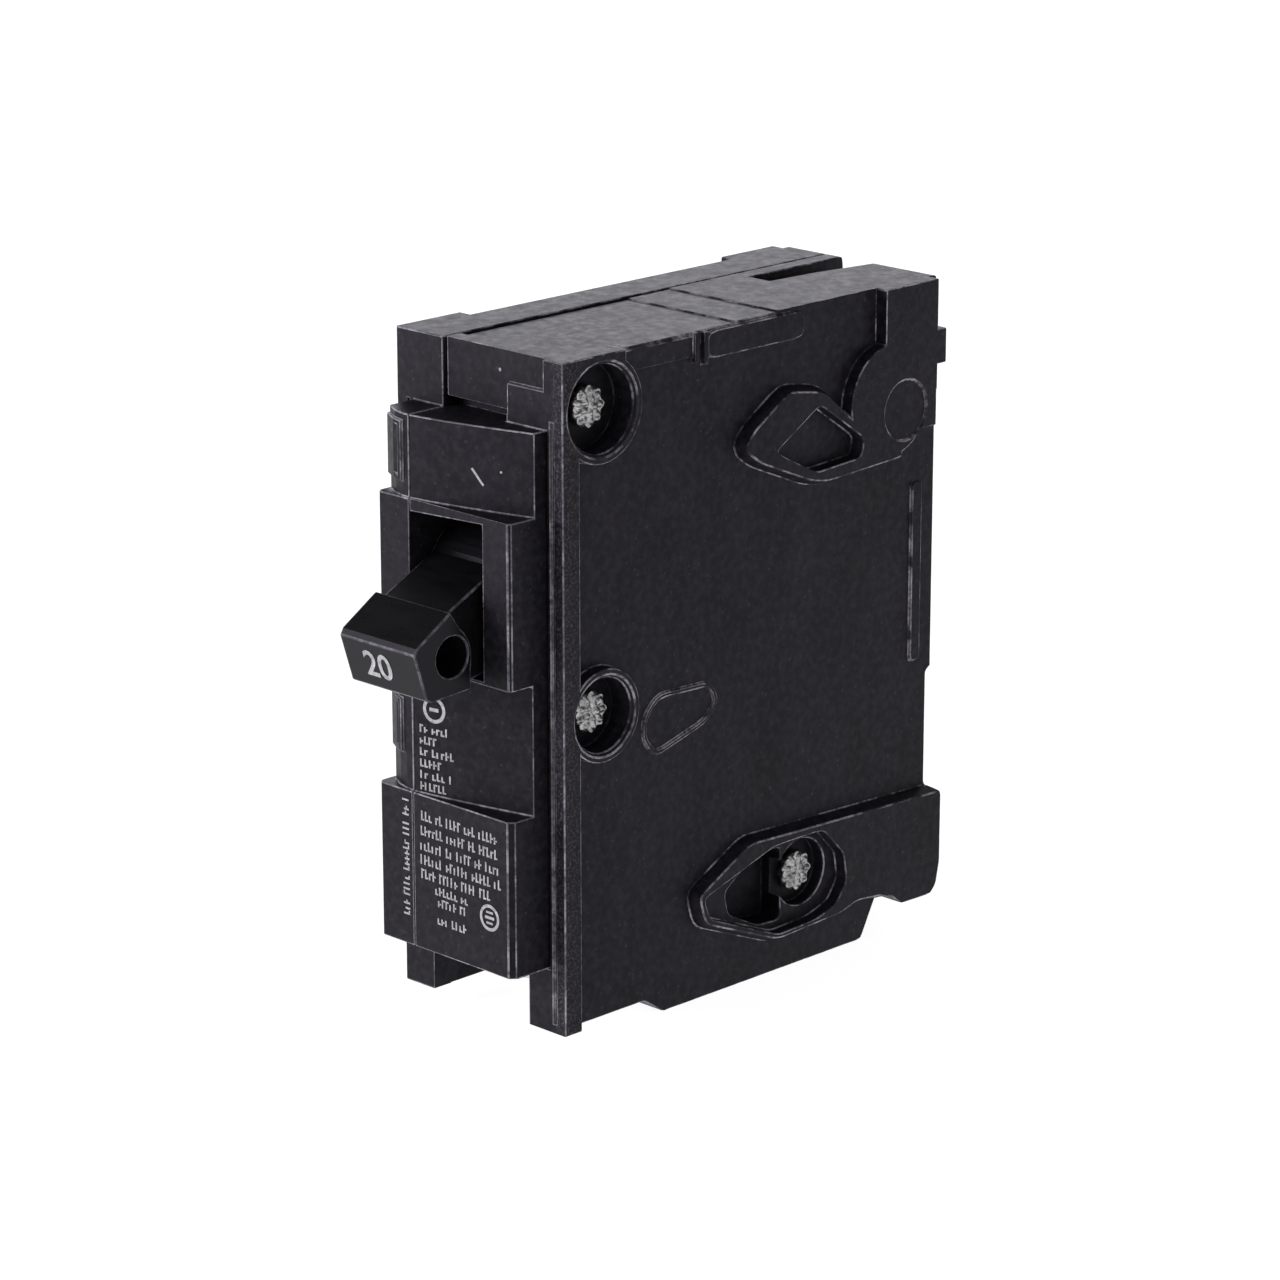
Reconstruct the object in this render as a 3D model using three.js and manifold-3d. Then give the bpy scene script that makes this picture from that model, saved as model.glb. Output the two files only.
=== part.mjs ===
// Plug-on single-pole circuit breaker, 20 A, shown switched off, built as the real one is assembled:
// two moulded half shells held by three rivets, and inside them the switching handle, contact arm,
// arc chute, trip cradle, thermal-magnetic trip unit, line jaw and load lug.
// Millimetres. X runs across the width, +Y to the back (the bus bar), +Z to the line end.
// Depths are first measured from the front flange plane; the whole group is then moved by CENTRE_Y.
import * as THREE from "three";
import { mergeVertices } from "three/addons/utils/BufferGeometryUtils.js";
import Module from "manifold-3d";

const wasm = await Module();
wasm.setup();

// ---- driving dimensions -------------------------------------------------------------------------
const HALF_WIDTH = 12.7; // the breaker fills a one inch pole space
const SIDE = 11.15; // outer face of the recessed side walls
const INNER = 9.6; // inner face of the side walls
const HEIGHT = 76.2;
const CENTRE_Y = 22.95; // middle of the outline's depth, handle included
const SEAM = { x: -5.4, gap: 0.2 }; // parting plane between cover and base
const BLOCK_X = 10.0; // half width of the raised blocks on the front
const FACETS = 24;

const HANDLE = { y: 4.2, z: 49.4, rest: 17.6, drum: 7.6, reach: 12.5, x0: -5.1, x1: 5.6 };
const HANDLE_TIP = { x0: -6.1, x1: 5.6, hole: 2.25 };
const WINDOW = { x0: -5.4, x1: 5.9, z0: 41.6, z1: 58.1, rise: 0.6, front: -5.2, sill: 0.4, lintel: 1.4 };
const LABEL = { x0: -10.8, x1: 10.0, z0: 9.1, z1: 26.8, front: -5.3 };
const PANEL_TOP = 68.6; // top of the block above the window
const ARM = { x: 0.2, thick: 2.0, length: 22.2, rest: -6, closed: 34 };
const CRADLE = { y: 13, z: 62, x0: -7.6, x1: -6.2 };
const CRADLE_HOOK = { y: 13.8, z: 49.4 };
const ARM_HOOK_REACH = 12;
const STRAP_X = -0.5; // middle of the load path: lug, strap, bimetal and magnet
const JAW = { x: -1.55, z0: 62, z1: 73 };
const LUG = { y0: 10.2, y1: 22.0, z0: 2.6, z1: 11.8, wall: 1.6, half: 5.5 };
const LUG_SCREW = { z: 6.4, r: 2.8, y0: 6.3, y1: 11.7, pitch: 0.9 };
const ARMATURE_PIVOT = { y: 39, z: 26.2 };
const RIVETS = [
  { name: "upper", y: 5.9, z: 70.3, recess: 4.8, boss: 5.9, column: 4.6 },
  { name: "middle", y: 6.1, z: 36.8, recess: 4.15, boss: 5.2, column: 4.2 },
  { name: "lower", y: 38.5, z: 10.8, recess: 3.9, boss: 0, column: 4.6 },
];
const RIVET = { r: 1.7, hole: 1.8, flare: 9.5, lobes: 2.1, head: -9.7 };

const degrees = THREE.MathUtils.degToRad;

// ---- helpers ------------------------------------------------------------------------------------
function solid(geometry) {
  const plain = geometry.index ? geometry.toNonIndexed() : geometry.clone();
  plain.deleteAttribute("normal");
  plain.deleteAttribute("uv");
  const merged = mergeVertices(plain, 1e-4);
  return new wasm.Manifold(
    new wasm.Mesh({
      numProp: 3,
      vertProperties: merged.attributes.position.array,
      triVerts: new Uint32Array(merged.index.array),
    }),
  );
}

const fuse = (...solids) => solids.flat().reduce((sum, next) => sum.add(next));
const cut = (body, ...tools) => tools.flat().reduce((left, tool) => left.subtract(tool), body);

// Merges faces in one plane and drops edges shorter than a hundredth, left where cuts cross.
const tidy = (body) => body.asOriginal().simplify(0.015);

function geometryOf(body) {
  const mesh = tidy(body).getMesh();
  const positions = new Float32Array(mesh.numVert * 3);
  for (let i = 0; i < mesh.numVert; i++) {
    positions.set(mesh.vertProperties.subarray(i * mesh.numProp, i * mesh.numProp + 3), i * 3);
  }
  const geometry = new THREE.BufferGeometry();
  geometry.setAttribute("position", new THREE.BufferAttribute(positions, 3));
  geometry.setIndex(new THREE.BufferAttribute(mesh.triVerts, 1));
  geometry.computeVertexNormals();
  return geometry;
}

// A closed outline whose corners are rounded by up to the radius given.
function outline(points, radius = 0) {
  const shape = new THREE.Shape();
  points.forEach((point, i) => {
    const corner = new THREE.Vector2(...point);
    const before = new THREE.Vector2(...points.at(i - 1));
    const after = new THREE.Vector2(...points[(i + 1) % points.length]);
    const toBefore = corner.distanceTo(before);
    const toAfter = corner.distanceTo(after);
    const reach = Math.min(radius, toBefore / 2.2, toAfter / 2.2);
    const start = corner.clone().lerp(before, reach / toBefore);
    const end = corner.clone().lerp(after, reach / toAfter);
    if (i === 0) shape.moveTo(start.x, start.y);
    else shape.lineTo(start.x, start.y);
    if (reach > 0) shape.quadraticCurveTo(corner.x, corner.y, end.x, end.y);
  });
  shape.closePath();
  return shape;
}

// A convex outline's points, given anticlockwise, moved in by the same distance from every side.
function inset(points, distance) {
  return points.map((point, i) => {
    const corner = new THREE.Vector2(...point);
    const into = corner.clone().sub(new THREE.Vector2(...points.at(i - 1))).normalize();
    const out = new THREE.Vector2(...points[(i + 1) % points.length]).sub(corner).normalize();
    const inward = new THREE.Vector2(-into.y - out.y, into.x + out.x);
    return corner.addScaledVector(inward, distance / (1 + into.dot(out))).toArray();
  });
}

// The outline of a bent strip of even thickness that follows an open line of points.
function strip(points, thickness) {
  const line = points.map((p) => new THREE.Vector2(...p));
  const sides = [[], []];
  line.forEach((point, i) => {
    const into = (i > 0 ? point.clone().sub(line[i - 1]) : line[1].clone().sub(point)).normalize();
    const last = i === line.length - 1;
    const out = (last ? into.clone() : line[i + 1].clone().sub(point)).normalize();
    const normal = new THREE.Vector2(-into.y - out.y, into.x + out.x).normalize();
    const reach = thickness / 2 / Math.max(0.5, normal.dot(new THREE.Vector2(-into.y, into.x)));
    sides[0].push(point.clone().addScaledVector(normal, reach).toArray());
    sides[1].unshift(point.clone().addScaledVector(normal, -reach).toArray());
  });
  return outline([...sides[0], ...sides[1]]);
}

function extrusion(shape, depth, curveSegments = 3) {
  const made = Array.isArray(shape) ? outline(shape) : shape;
  return new THREE.ExtrudeGeometry(made, { depth, bevelEnabled: false, curveSegments, steps: 1 });
}

const AXIS_X = new THREE.Vector3(1, 0, 0);
const AXIS_Y = new THREE.Vector3(0, 1, 0);
const AXIS_Z = new THREE.Vector3(0, 0, 1);
const YZ_ALONG_X = new THREE.Matrix4().makeBasis(AXIS_Y, AXIS_Z, AXIS_X);
const XZ_ALONG_Y = new THREE.Matrix4().makeBasis(AXIS_X, AXIS_Z, AXIS_Y.clone().negate());

// Plates: an outline in two axes, drawn out along the third between two levels.
const plateX = (shape, x0, x1, segments) =>
  solid(extrusion(shape, x1 - x0, segments).applyMatrix4(YZ_ALONG_X).translate(x0, 0, 0));
const plateY = (shape, y0, y1, segments) =>
  solid(extrusion(shape, y1 - y0, segments).applyMatrix4(XZ_ALONG_Y).translate(0, y1, 0));
const plateZ = (shape, z0, z1, segments) =>
  solid(extrusion(shape, z1 - z0, segments).translate(0, 0, z0));

// A plate along X whose rim slopes in by the draft over its last stretch towards x1.
function slopedPlateX(shape, x0, x1, { draft, rise }) {
  const geometry = new THREE.ExtrudeGeometry(shape, {
    depth: x1 - x0 - 2 * rise,
    bevelThickness: rise,
    bevelSize: draft,
    bevelOffset: -draft,
    bevelSegments: 1,
    curveSegments: 3,
    steps: 1,
  });
  return solid(geometry.translate(0, 0, rise).applyMatrix4(YZ_ALONG_X).translate(x0, 0, 0));
}

function box(x0, x1, y0, y1, z0, z1) {
  const geometry = new THREE.BoxGeometry(x1 - x0, y1 - y0, z1 - z0);
  return solid(geometry.translate((x0 + x1) / 2, (y0 + y1) / 2, (z0 + z1) / 2));
}

// A round bar along X, at (y, z); the end radius may differ to make a cone.
function barX(y, z, r, x0, x1, facets = FACETS, endRadius = r) {
  const geometry = new THREE.CylinderGeometry(endRadius, r, x1 - x0, facets);
  return solid(geometry.rotateZ(-Math.PI / 2).translate((x0 + x1) / 2, y, z));
}

function barY(x, z, r, y0, y1, facets = FACETS) {
  const geometry = new THREE.CylinderGeometry(r, r, y1 - y0, facets);
  return solid(geometry.translate(x, (y0 + y1) / 2, z));
}

function barZ(x, y, r, z0, z1, facets = FACETS, endRadius = r) {
  const geometry = new THREE.CylinderGeometry(endRadius, r, z1 - z0, facets);
  return solid(geometry.rotateX(Math.PI / 2).translate(x, y, (z0 + z1) / 2));
}

// A round wire bent along a smooth line of points.
function wire(points, radius, sides = 6) {
  const section = new THREE.Shape();
  for (let i = 0; i < sides; i++) {
    const angle = (2 * Math.PI * i) / sides;
    const corner = [radius * Math.cos(angle), radius * Math.sin(angle)];
    if (i === 0) section.moveTo(...corner);
    else section.lineTo(...corner);
  }
  section.closePath();
  const path = new THREE.CatmullRomCurve3(points, false, "centripetal");
  const steps = points.length - 1;
  return solid(new THREE.ExtrudeGeometry(section, { steps, bevelEnabled: false, extrudePath: path }));
}

const rectangle = (a0, a1, b0, b1, radius = 0) =>
  outline(
    [
      [a0, b0],
      [a1, b0],
      [a1, b1],
      [a0, b1],
    ],
    radius,
  );

const group = new THREE.Group();
group.name = "circuit_breaker";

function piece(name, body, material, place = {}) {
  const mesh = new THREE.Mesh(geometryOf(body), material.clone());
  mesh.name = name;
  mesh.position.set(0, place.y ?? 0, place.z ?? 0);
  mesh.rotation.x = degrees(place.turn ?? 0);
  group.add(mesh);
  return mesh;
}

// ---- materials ----------------------------------------------------------------------------------
const finish = (color, roughness, metalness) =>
  new THREE.MeshStandardMaterial({ color, roughness, metalness });
const PHENOLIC = finish(0x2b2a2d, 0.55, 0.0);
const HANDLE_PLASTIC = finish(0x19181a, 0.32, 0.0);
const COPPER = finish(0xb4673f, 0.35, 1.0);
const PLATED_COPPER = finish(0xa9a59c, 0.35, 1.0);
const SILVER = finish(0xd6d4ce, 0.25, 1.0);
const STEEL = finish(0x9a9ca0, 0.4, 1.0);
const ZINC_STEEL = finish(0xc2c3c6, 0.3, 1.0);
const SPRING_STEEL = finish(0x6f7276, 0.35, 1.0);
const BIMETAL = finish(0xa8a193, 0.4, 1.0);
const ALUMINIUM = finish(0xc9cbcd, 0.4, 1.0);
const FIBRE = finish(0x8f7a5c, 0.85, 0.0);

// ---- moulded case -------------------------------------------------------------------------------
// The case is drawn whole, outside and inside, and then parted at the seam into base and cover.

// Side outline of the recessed side walls, bottom end first.
const BODY = [
  [0, 2],
  [13.5, 2],
  [16.4, 0],
  [48.8, 0],
  [51.6, 5.2],
  [54, 3.4],
  [59, 3.3],
  [60, 4.2],
  [60.6, 7],
  [60.6, 15.6],
  [59.3, 16.3],
  [59.3, 30],
  [60.1, 30.4],
  [60.1, HEIGHT],
  [0, HEIGHT],
];

const BODY_CORNER = 0.6; // corner radius of that outline
const BOSS_SLOPE = { draft: 0.55, rise: 1.2 }; // sloped rim of the large side bosses

// Level of a crowned front face at x: highest at the seam, falling away to both edges.
function crownAt(x, { front, drop, power }) {
  if (x < SEAM.x) return front + 1.5 * ((SEAM.x - x) / (BLOCK_X + SEAM.x)) ** 2;
  return front + drop * ((x - SEAM.x) / (BLOCK_X - SEAM.x)) ** power;
}

// Outline, seen from above, of a block whose front follows the crown between two edges.
function crowned(crown, x0, x1, proud = 0, back = 2) {
  const points = [
    [x1, back],
    [x0, back],
  ];
  const stations = [x0, SEAM.x - 2.6, SEAM.x - 1.2, SEAM.x];
  for (let i = 1; i <= 6; i++) stations.push(SEAM.x + (i / 6) * (BLOCK_X - SEAM.x));
  for (const x of [...stations.filter((x) => x >= x0 && x < x1), x1]) {
    points.push([x, crownAt(x, crown) - proud]);
  }
  return outline(points);
}
const UPPER_CROWN = { front: -5.05, drop: 3.5, power: 1.3 };
const MIDDLE_CROWN = { front: -5.0, drop: 3.0, power: 1.2 };

// A pad on the cover's part of a crowned face, with a shallow panel sunk in it.
const PADS = [
  { crown: UPPER_CROWN, x0: -10.3, x1: -6.5, z0: 61.2, z1: 67.8 },
  { crown: MIDDLE_CROWN, x0: -10.4, x1: -7.3, z0: 30.8, z1: 36.8 },
];

function frontBlocks() {
  const { x0, x1, z0, z1, front } = LABEL;
  const label = [
    [x0, 2],
    [x0, front + 0.4],
    [x0 + 0.4, front],
    [x1 - 0.6, front],
    [x1, front + 0.7],
    [x1, 2],
  ];
  const frame = [
    [x0 + 0.5, 2],
    [x0 + 0.5, WINDOW.front + 0.3],
    [x0 + 0.8, WINDOW.front],
    [x1 - 0.3, WINDOW.front],
    [x1, WINDOW.front + 0.4],
    [x1, 2],
  ];
  const pads = PADS.map((pad) => plateZ(crowned(pad.crown, pad.x0, pad.x1, 0.35), pad.z0, pad.z1));
  return fuse(
    plateZ(crowned(MIDDLE_CROWN, -BLOCK_X, BLOCK_X), 26, 42),
    plateZ(crowned(UPPER_CROWN, -BLOCK_X, BLOCK_X), 58.5, PANEL_TOP),
    plateZ(label, z0, z1),
    plateZ(frame, WINDOW.z0 - WINDOW.sill, WINDOW.z1 + WINDOW.lintel),
    pads,
  );
}

// Raised parts of one side wall, all ending on the plane that touches the next breaker. The rear
// block runs out past the body's outline, which trims it.
const REAR_BLOCK = [
  [20, 12.9],
  [28.6, 17.4],
  [37.5, 17],
  [63, 16.06],
  [63, 1],
  [51.8, 1],
  [51.8, 4.6],
  [46.4, 5.2],
  [44.2, 4.4],
  [33.2, 3.9],
  [28, 6],
  [21.2, 8.8],
];
const REAR_BLOCK_POCKET = [
  [21.4, 12.2],
  [32.6, 15.6],
  [40.6, 15.6],
  [44.1, 11.9],
  [44.6, 8.6],
  [42.9, 6.2],
  [39.4, 5.2],
  [33.4, 5],
  [28.4, 7.1],
  [22.4, 9.6],
];
const RIVET_WELL = { floor: 8.2, wall: 7.0 };
const RIVET_WELL_OUTLINE = [
  [26.2, 11.4],
  [30.6, 14.4],
  [35.2, 14.6],
  [35.2, 6],
  [31.5, 6.2],
  [26.8, 8.6],
];
const WEDGE_BOSS = [
  [27.2, 62.6],
  [28.6, 64.3],
  [34.4, 67.9],
  [40.2, 66.9],
  [44.2, 63.5],
  [47.5, 61],
  [53.6, 58.1],
  [53.4, 56.2],
  [40.7, 55.6],
  [38.1, 56.1],
  [29.6, 59.7],
  [27.6, 61.2],
];
const WEDGE_POCKET = [
  [32.4, 60.9],
  [39.4, 65],
  [46.6, 60],
  [46.2, 57.9],
  [38.9, 57.5],
];
const DROP_PAD = [
  [13, 32.3],
  [14.9, 29.8],
  [23, 32],
  [25, 34.2],
  [23.6, 36.6],
  [15.4, 36.9],
  [13.3, 34.9],
];

// mirror is 1 for the base side and -1 for the cover side.
function bothWays(mirror, make) {
  const body = make();
  return mirror > 0 ? body : body.mirror([1, 0, 0]);
}

function sideBosses(mirror) {
  return bothWays(mirror, () => {
    const floor = SIDE - 0.6;
    const body = plateX(outline(BODY, BODY_CORNER), 0, HALF_WIDTH + 1);
    const parts = [
      slopedPlateX(outline(REAR_BLOCK, 1.3), INNER + 0.2, HALF_WIDTH, BOSS_SLOPE).intersect(body),
      plateX(rectangle(50, 58.7, 63.5, HEIGHT), floor, HALF_WIDTH),
      plateX(rectangle(51, 58.6, 59.4, 66), floor, HALF_WIDTH),
      plateX(rectangle(58, 60.1, 66.4, 70.4), floor, HALF_WIDTH),
      barX(51, 63.5, 6.5, floor, HALF_WIDTH, 40),
    ];
    for (const rivet of RIVETS.filter((r) => r.boss > 0)) {
      parts.push(barX(rivet.y, rivet.z, rivet.boss, floor, HALF_WIDTH, 36));
    }
    parts.push(plateX(rectangle(1, 9.4, 70.3, HEIGHT), floor, HALF_WIDTH));
    if (mirror > 0) {
      parts.push(
        slopedPlateX(outline(WEDGE_BOSS, 1.4), INNER + 0.2, HALF_WIDTH, BOSS_SLOPE),
        plateX(rectangle(56.2, 57.8, 31.8, 52.9, 0.6), floor, SIDE + 0.35),
        plateX(rectangle(22.8, 38, 72.7, 75.7, 1.5), floor, SIDE + 0.4),
        plateX(rectangle(8, 21.2, 73.3, 75.6), floor, SIDE + 0.25),
        plateX(rectangle(20.7, 21.3, 72.6, 75.9), floor, SIDE + 0.6),
        plateX(rectangle(22.1, 22.7, 72.2, 75.9), floor, SIDE + 0.6),
        plateX(outline(DROP_PAD, 1.6), floor, SIDE + 0.3),
      );
    }
    return fuse(parts);
  });
}

function sidePockets(mirror) {
  return bothWays(mirror, () => {
    const beyond = HALF_WIDTH + 1;
    const parts = [
      plateX(outline(REAR_BLOCK_POCKET, 0.8), SIDE, beyond),
      plateX(outline(RIVET_WELL_OUTLINE, 0.8), RIVET_WELL.floor, beyond),
      barX(53.5, 62, 3.5, HALF_WIDTH - 0.25, beyond, 32),
    ];
    for (const rivet of RIVETS) {
      const floor = mirror > 0 ? RIVET.flare : -RIVET.head;
      parts.push(barX(rivet.y, rivet.z, rivet.recess, floor, beyond, 32));
      parts.push(barX(rivet.y, rivet.z, rivet.recess, HALF_WIDTH - 0.4, beyond, 32, rivet.recess + 1.4));
    }
    if (mirror > 0) {
      parts.push(
        plateX(outline(WEDGE_POCKET, 0.8), 10.9, beyond),
        plateX(outline(inset(DROP_PAD, 0.5), 1.2), SIDE, beyond),
      );
    }
    return fuse(parts);
  });
}

function frontDetails() {
  const removed = [
    // panel above the blocks, set back behind the cover's edge, stepped round a flush tile
    box(SEAM.x, 4.4, -1, 0.5, PANEL_TOP + 1, HEIGHT + 1),
    box(4.3, 9.8, -1, 0.5, 72.8, HEIGHT + 1),
    // slot between that panel and the block below it
    box(SEAM.x, 4.3, -1, 2.2, PANEL_TOP, PANEL_TOP + 1.2),
    // grooves down each flange strip, the deeper one against the blocks
    box(BLOCK_X, BLOCK_X + 0.35, -1, 0.9, LABEL.z0, PANEL_TOP),
    box(BLOCK_X + 0.8, BLOCK_X + 1.3, -1, 0.3, 3, PANEL_TOP + 1),
    box(LABEL.x0 - 0.4, LABEL.x0, -1, 0.9, LABEL.z0, PANEL_TOP),
  ];
  for (const { crown, x0, x1, z0, z1 } of PADS) {
    const depth = crownAt(x1 - 0.7, crown) - 0.1;
    removed.push(box(x0 + 0.7, x1 - 0.7, depth - 3, depth, z0 + 0.6, z1 - 0.6));
  }
  return removed;
}

// Seen from above: the slot for the bus stab, flared towards its mouth.
const STAB_SLOT = [
  [-3.1, 44.5],
  [0.1, 44.5],
  [0.6, 51.5],
  [2.2, 61.5],
  [-3.1, 61.5],
];

// The window's top edge rises a little towards the base side.
function windowOpening() {
  const { x0, x1, z0, z1, rise } = WINDOW;
  const opening = [
    [x0, z0],
    [x1, z0],
    [x1, z1 + rise],
    [x0, z1],
  ];
  return plateY(opening, -8, 3);
}

// Room for the mechanism: everything inside the walls.
function cavities() {
  const chamber = [
    [2.5, 16.4],
    [23.9, 16.4],
    [23.9, 2],
    [48, 2],
    [49.8, 5.8],
    [49.8, 11.4],
    [57.4, 11.4],
    [57.4, 58.8],
    [43.6, 58.8],
    [43.6, 74.2],
    [2.5, 74.2],
  ];
  return [
    plateX(chamber, -INNER, INNER),
    // behind the front blocks
    box(-8, 6, -1.6, 3, 28, 38.8),
    box(-8, 6, -1.2, 3, 61, 65.4),
    // handle window, with the drum's clearance behind it
    windowOpening(),
    // line end: jaw room, the slot that the bus stab enters, and the way through for the strap
    box(-6.6, 3.5, 45, 57.4, 60.2, 74.2),
    plateZ(STAB_SLOT, 61.6, HEIGHT + 1),
    box(-4.7, 2.9, 43, 46, 61.3, 63.8),
    // load end: wire room open to the front and to the bottom, and the way through for the strap
    box(-8.1, 7, -1, 22.6, -1, 9),
    box(-8.1, 7, 2.5, 22.6, 8, 14.8),
    box(-4.5, 3.5, 22, 24.5, 12, 14.4),
    // slot for the panel's mounting rail
    box(-9.5, 9.5, 51.8, 54.5, -1, 9.4),
    // access to the calibration screw
    barZ(STRAP_X, 45.5, 1.8, -1, 3, 20),
  ];
}

// Columns, bosses and ribs that stand in the chamber.
function innerParts() {
  const parts = RIVETS.map((rivet) => barX(rivet.y, rivet.z, rivet.column, -SIDE, SIDE, 28));
  const well = rectangle(24.6, 36.4, 4.6, 16.2, 1);
  parts.push(
    plateX(well, RIVET_WELL.wall, SIDE),
    plateX(well, -SIDE, -RIVET_WELL.wall),
    barX(HANDLE.y, HANDLE.z, 3.6, WINDOW.x1 + 0.1, INNER + 0.5),
    barX(HANDLE.y, HANDLE.z, 3.6, -INNER - 0.5, SEAM.x - 0.1),
    barX(CRADLE.y, CRADLE.z, 2.6, -5, INNER + 0.5),
    barX(CRADLE.y, CRADLE.z, 2.6, -INNER - 0.5, -7.95),
  );
  for (const { y, z, recess } of RIVETS) {
    parts.push(barX(y, z, recess + 0.8, 8.4, SIDE, 28), barX(y, z, recess + 0.8, -SIDE, -8.5, 28));
  }
  for (const y of [34.2, 46.9]) {
    parts.push(box(8.6, INNER + 0.5, y, y + 0.9, 47.5, 59));
    parts.push(box(-INNER - 0.5, -8.2, y, y + 0.9, 47.5, 59));
  }
  return parts;
}

function borings() {
  const holes = RIVETS.map((rivet) => barX(rivet.y, rivet.z, RIVET.hole, -14, 14));
  holes.push(barX(HANDLE.y, HANDLE.z, 1.7, -9.3, 9.7));
  holes.push(barX(CRADLE.y, CRADLE.z, 1.4, -9.4, -3));
  return holes;
}

function wholeCase() {
  const flange = box(-HALF_WIDTH, HALF_WIDTH, 0, 2.5, 1.9, HEIGHT);
  const steps = [
    // the base's half of the top is lower in front, in two steps up to the back
    box(SEAM.x, 9.5, 2.5, 27.5, HEIGHT - 0.3, HEIGHT + 1),
    box(SEAM.x, SIDE, 9.4, 27.5, HEIGHT - 0.3, HEIGHT + 1),
    box(SEAM.x, SIDE, 27, 34, HEIGHT - 0.15, HEIGHT + 1),
  ];
  const outside = fuse(
    plateX(outline(BODY, BODY_CORNER), -SIDE, SIDE),
    flange,
    frontBlocks(),
    sideBosses(1),
    sideBosses(-1),
  );
  const shaped = cut(outside, frontDetails(), sidePockets(1), sidePockets(-1), steps);
  const hollow = fuse(cut(shaped, cavities()), cutToOutside(innerParts(), shaped));
  return cut(hollow, borings(), sidePockets(1), sidePockets(-1));
}

// Bosses are kept inside the outer skin, so that they never stand out of it.
function cutToOutside(parts, outside) {
  return fuse(parts).intersect(outside);
}

const wholeCaseSolid = wholeCase();
const reach = 40;
const baseHalf = box(SEAM.x + SEAM.gap / 2, reach, -reach, 90, -10, 90);
const coverHalf = box(-reach, SEAM.x - SEAM.gap / 2, -reach, 90, -10, 90);
const largest = (body) =>
  body.decompose().reduce((best, next) => (next.volume() > best.volume() ? next : best));
piece("base_shell", largest(wholeCaseSolid.intersect(baseHalf)), PHENOLIC);
piece("cover_shell", largest(wholeCaseSolid.intersect(coverHalf)), PHENOLIC);

// ---- rivets -------------------------------------------------------------------------------------
// Each has a domed head on the cover side and is set on the base side into an eight-lobed flare.
function rivet({ y, z }) {
  const lobes = new THREE.Shape();
  const count = 48;
  for (let i = 0; i < count; i++) {
    const angle = (2 * Math.PI * i) / count;
    const r = RIVET.lobes + 0.24 * Math.cos(8 * angle);
    if (i === 0) lobes.moveTo(y + r * Math.cos(angle), z + r * Math.sin(angle));
    else lobes.lineTo(y + r * Math.cos(angle), z + r * Math.sin(angle));
  }
  lobes.closePath();
  const flare = plateX(lobes, RIVET.flare + 0.1, RIVET.flare + 1.1);
  const dimple = barX(y, z, 0.4, RIVET.flare + 0.3, RIVET.flare + 1.3, 16, 1.3);
  const shank = barX(y, z, RIVET.r, RIVET.head - 0.3, RIVET.flare + 0.5);
  const head = barX(y, z, 2.4, RIVET.head - 1.2, RIVET.head - 0.1, FACETS, 3.2);
  return cut(fuse(shank, flare, head), dimple);
}
for (const place of RIVETS) {
  piece("case_rivet_" + place.name, rivet(place), ZINC_STEEL);
}

// ---- handle, built level about its own pivot, then turned down to off ---------------------------
function handle() {
  const tip = new THREE.Shape();
  tip.moveTo(-18.95, 2.75);
  tip.lineTo(-18.35, 3.3);
  tip.lineTo(-12.9, 4.7);
  tip.lineTo(-12.2, 2.5);
  tip.quadraticCurveTo(-10.7, 0, -12.2, -2.5);
  tip.lineTo(-12.9, -4.7);
  tip.lineTo(-18.35, -3.3);
  tip.lineTo(-18.95, -2.75);
  tip.closePath();
  const neck = [
    [-3, 6.1],
    [-7.4, 5.2],
    [-13.5, 4.3],
    [-13.5, -3.9],
    [-7.4, -4.9],
    [-3, -6.1],
  ];
  const leg = new THREE.Shape();
  leg.moveTo(4, 3);
  leg.lineTo(4, -3);
  leg.lineTo(HANDLE.reach, -2.3);
  leg.absarc(HANDLE.reach, 0, 2.3, -Math.PI / 2, Math.PI / 2, false);
  leg.closePath();
  const body = fuse(
    plateX(tip, HANDLE_TIP.x0, HANDLE_TIP.x1, 6),
    plateX(neck, HANDLE.x0 + 0.1, HANDLE.x1 - 0.7),
    barX(0, 0, HANDLE.drum, HANDLE.x0 + 0.1, HANDLE.x1 - 0.1, 48),
    barX(0, 0, 1.6, -8.9, 9.3),
    plateX(leg, -2.1, -1, 8),
    plateX(leg, 1.6, 2.8, 8),
  );
  return cut(
    body,
    barX(-14.2, 0, HANDLE_TIP.hole, -7, 7, 32),
    barX(HANDLE.reach, 0, 0.96, -4, 4, 20),
    box(-4.1, -2.7, 2.2, 9, -4, 4),
    box(3.4, 4.6, 2.2, 9, -4, 4),
  );
}
const atHandle = { y: HANDLE.y, z: HANDLE.z, turn: HANDLE.rest };
piece("handle", handle(), HANDLE_PLASTIC, atHandle);
piece("arm_pivot_pin", barX(HANDLE.reach, 0, 0.88, -2.1, 2.8, 20), STEEL, atHandle);

// ---- contact arm, built along +Y from its eye, then turned to the open position ------------------
const armEye = {
  y: HANDLE.y + HANDLE.reach * Math.cos(degrees(HANDLE.rest)),
  z: HANDLE.z + HANDLE.reach * Math.sin(degrees(HANDLE.rest)),
};
const atArm = { y: armEye.y, z: armEye.z, turn: ARM.rest };
const armX0 = ARM.x - ARM.thick / 2;
const armX1 = ARM.x + ARM.thick / 2;

// Moves a solid drawn level about the contact's middle to its place on the arm.
const onArmEnd = (body) =>
  body.rotate([-ARM.closed, 0, 0]).translate([0, ARM.length, 0]);

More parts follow.
